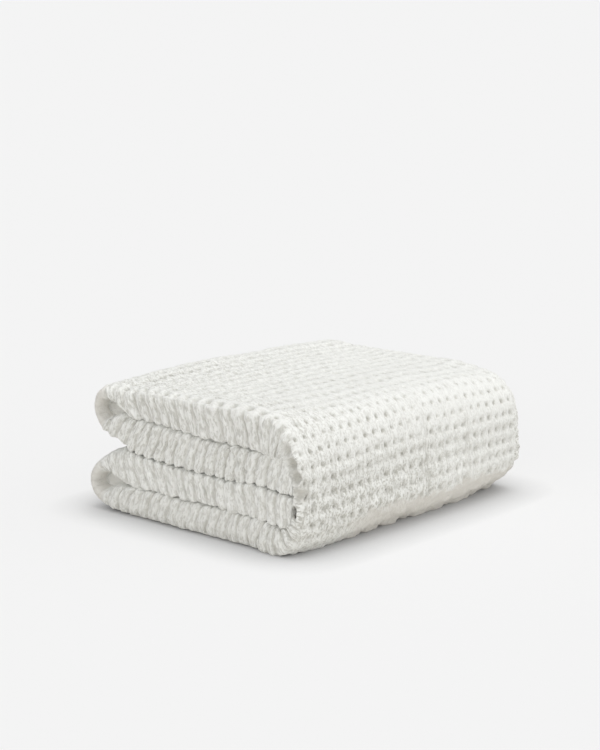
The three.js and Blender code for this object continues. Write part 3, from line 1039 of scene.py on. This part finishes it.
def seen_or_lit(tree, seen, lit):
    """One shader that the camera sees, and another that lights the scene."""
    rays = add_node(tree, "ShaderNodeLightPath")
    both = add_node(
        tree, "ShaderNodeMixShader", Fac=rays.outputs["Is Camera Ray"], _1=lit.outputs[0], _2=seen.outputs[0]
    )
    return both.outputs[0]


def floor_material():
    made = bpy.data.materials.new("floor_paper")
    tree = empty_tree(made)
    paper = add_node(tree, "ShaderNodeBsdfDiffuse", Color=FLOOR_GREY)
    # a contact shadow painted into the floor's glow by ambient occlusion
    painted_contact_shadow = add_node(
        tree, "ShaderNodeAmbientOcclusion", {"samples": 8}, Color=FLOOR_GREY, Distance=PAINTED_SHADOW_REACH
    )
    glow = add_node(tree, "ShaderNodeEmission", Color=painted_contact_shadow.outputs["Color"], Strength=1.0)
    seen = add_node(tree, "ShaderNodeMixShader", Fac=FLOOR_GLOW, _1=paper.outputs[0], _2=glow.outputs[0])
    bounce = add_node(tree, "ShaderNodeBsdfDiffuse", Color=FLOOR_BOUNCE)
    add_node(tree, "ShaderNodeOutputMaterial", Surface=seen_or_lit(tree, seen, bounce))
    return made


def make_floor():
    mesh = bpy.data.meshes.new("floor")
    r = FLOOR_HALF
    corners = [(-r, -r, low.z), (r, -r, low.z), (r, r, low.z), (-r, r, low.z)]
    mesh.from_pydata(corners, [], [(0, 1, 2, 3)])
    mesh.materials.append(floor_material())
    new_object(mesh)


# ---- light and camera ----------------------------------------------------------------------------
SKY = 0.60  # brightness at right angles to SKY_SIDE
SKY_LEAN = 0.9  # how much brighter the sky is toward SKY_SIDE
SKY_SIDE = (0.80, 0.05, 0.60)
# what each lamp adds to a face that looks along +X, along +Y and up, and how wide it is in degrees
LAMPS = [("window", (0.05, 0.04, 0.335), 40), ("fill", (0.02, -0.20, 0.02), 60)]

CAMERA_AZIMUTH, CAMERA_ELEVATION = 41.7178, 12.4804  # in degrees; azimuth 0 looks at the front
# metres from the ribbon's own origin: back along the view, and to the right and up across it
CAMERA_BACK, CAMERA_RIGHT, CAMERA_UP = 4.3391, -0.0168, 0.2424
LENS, SENSOR, CLIP_END = 105.6, 36, 200  # the first two in millimetres, the last in metres


def make_sky():
    world = bpy.data.worlds.new("studio")
    bpy.context.scene.world = world
    tree = empty_tree(world)
    place = add_node(tree, "ShaderNodeTexCoord").outputs["Generated"]
    lean = add_node(tree, "ShaderNodeVectorMath", {"operation": "DOT_PRODUCT"}, _0=place, _1=SKY_SIDE)
    strength = math_node(tree, "MULTIPLY_ADD", lean.outputs["Value"], SKY * SKY_LEAN, SKY)
    sky = add_node(tree, "ShaderNodeBackground", Strength=strength)
    seen = add_node(tree, "ShaderNodeBackground", Color=FLOOR_GREY)
    add_node(tree, "ShaderNodeOutputWorld", Surface=seen_or_lit(tree, seen, sky))


def make_lamps():
    for name, adds, angle in LAMPS:
        direction = Vector(adds)
        lamp = bpy.data.lights.new(name, "SUN")
        lamp.energy = math.pi * direction.length
        lamp.angle = math.radians(angle)
        sun = new_object(lamp)
        sun.rotation_mode = "QUATERNION"
        sun.rotation_quaternion = direction.to_track_quat("Z", "Y")


def make_camera():
    a, e = math.radians(CAMERA_AZIMUTH), math.radians(CAMERA_ELEVATION)
    back = Vector((math.sin(a) * math.cos(e), -math.cos(a) * math.cos(e), math.sin(e)))
    right = Vector((math.cos(a), math.sin(a), 0))
    up = back.cross(right)
    data = bpy.data.cameras.new("camera")
    data.lens, data.sensor_width, data.clip_end = LENS, SENSOR, CLIP_END
    camera = new_object(data)
    place = back * CAMERA_BACK + right * CAMERA_RIGHT + up * CAMERA_UP + Vector((-shift * MM, 0, 0))
    turn = Matrix((right, up, back)).transposed().to_4x4()
    camera.matrix_world = Matrix.Translation(place) @ turn
    bpy.context.scene.camera = camera


make_camera()
make_floor()
make_sky()
make_lamps()
waffle_cotton = cloth_material()
for piece in make_pieces() + make_linings():
    piece.data.materials.append(waffle_cotton)
    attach(piece, "root")
    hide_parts("comforter")

bpy.context.scene.view_settings.view_transform = "Standard"
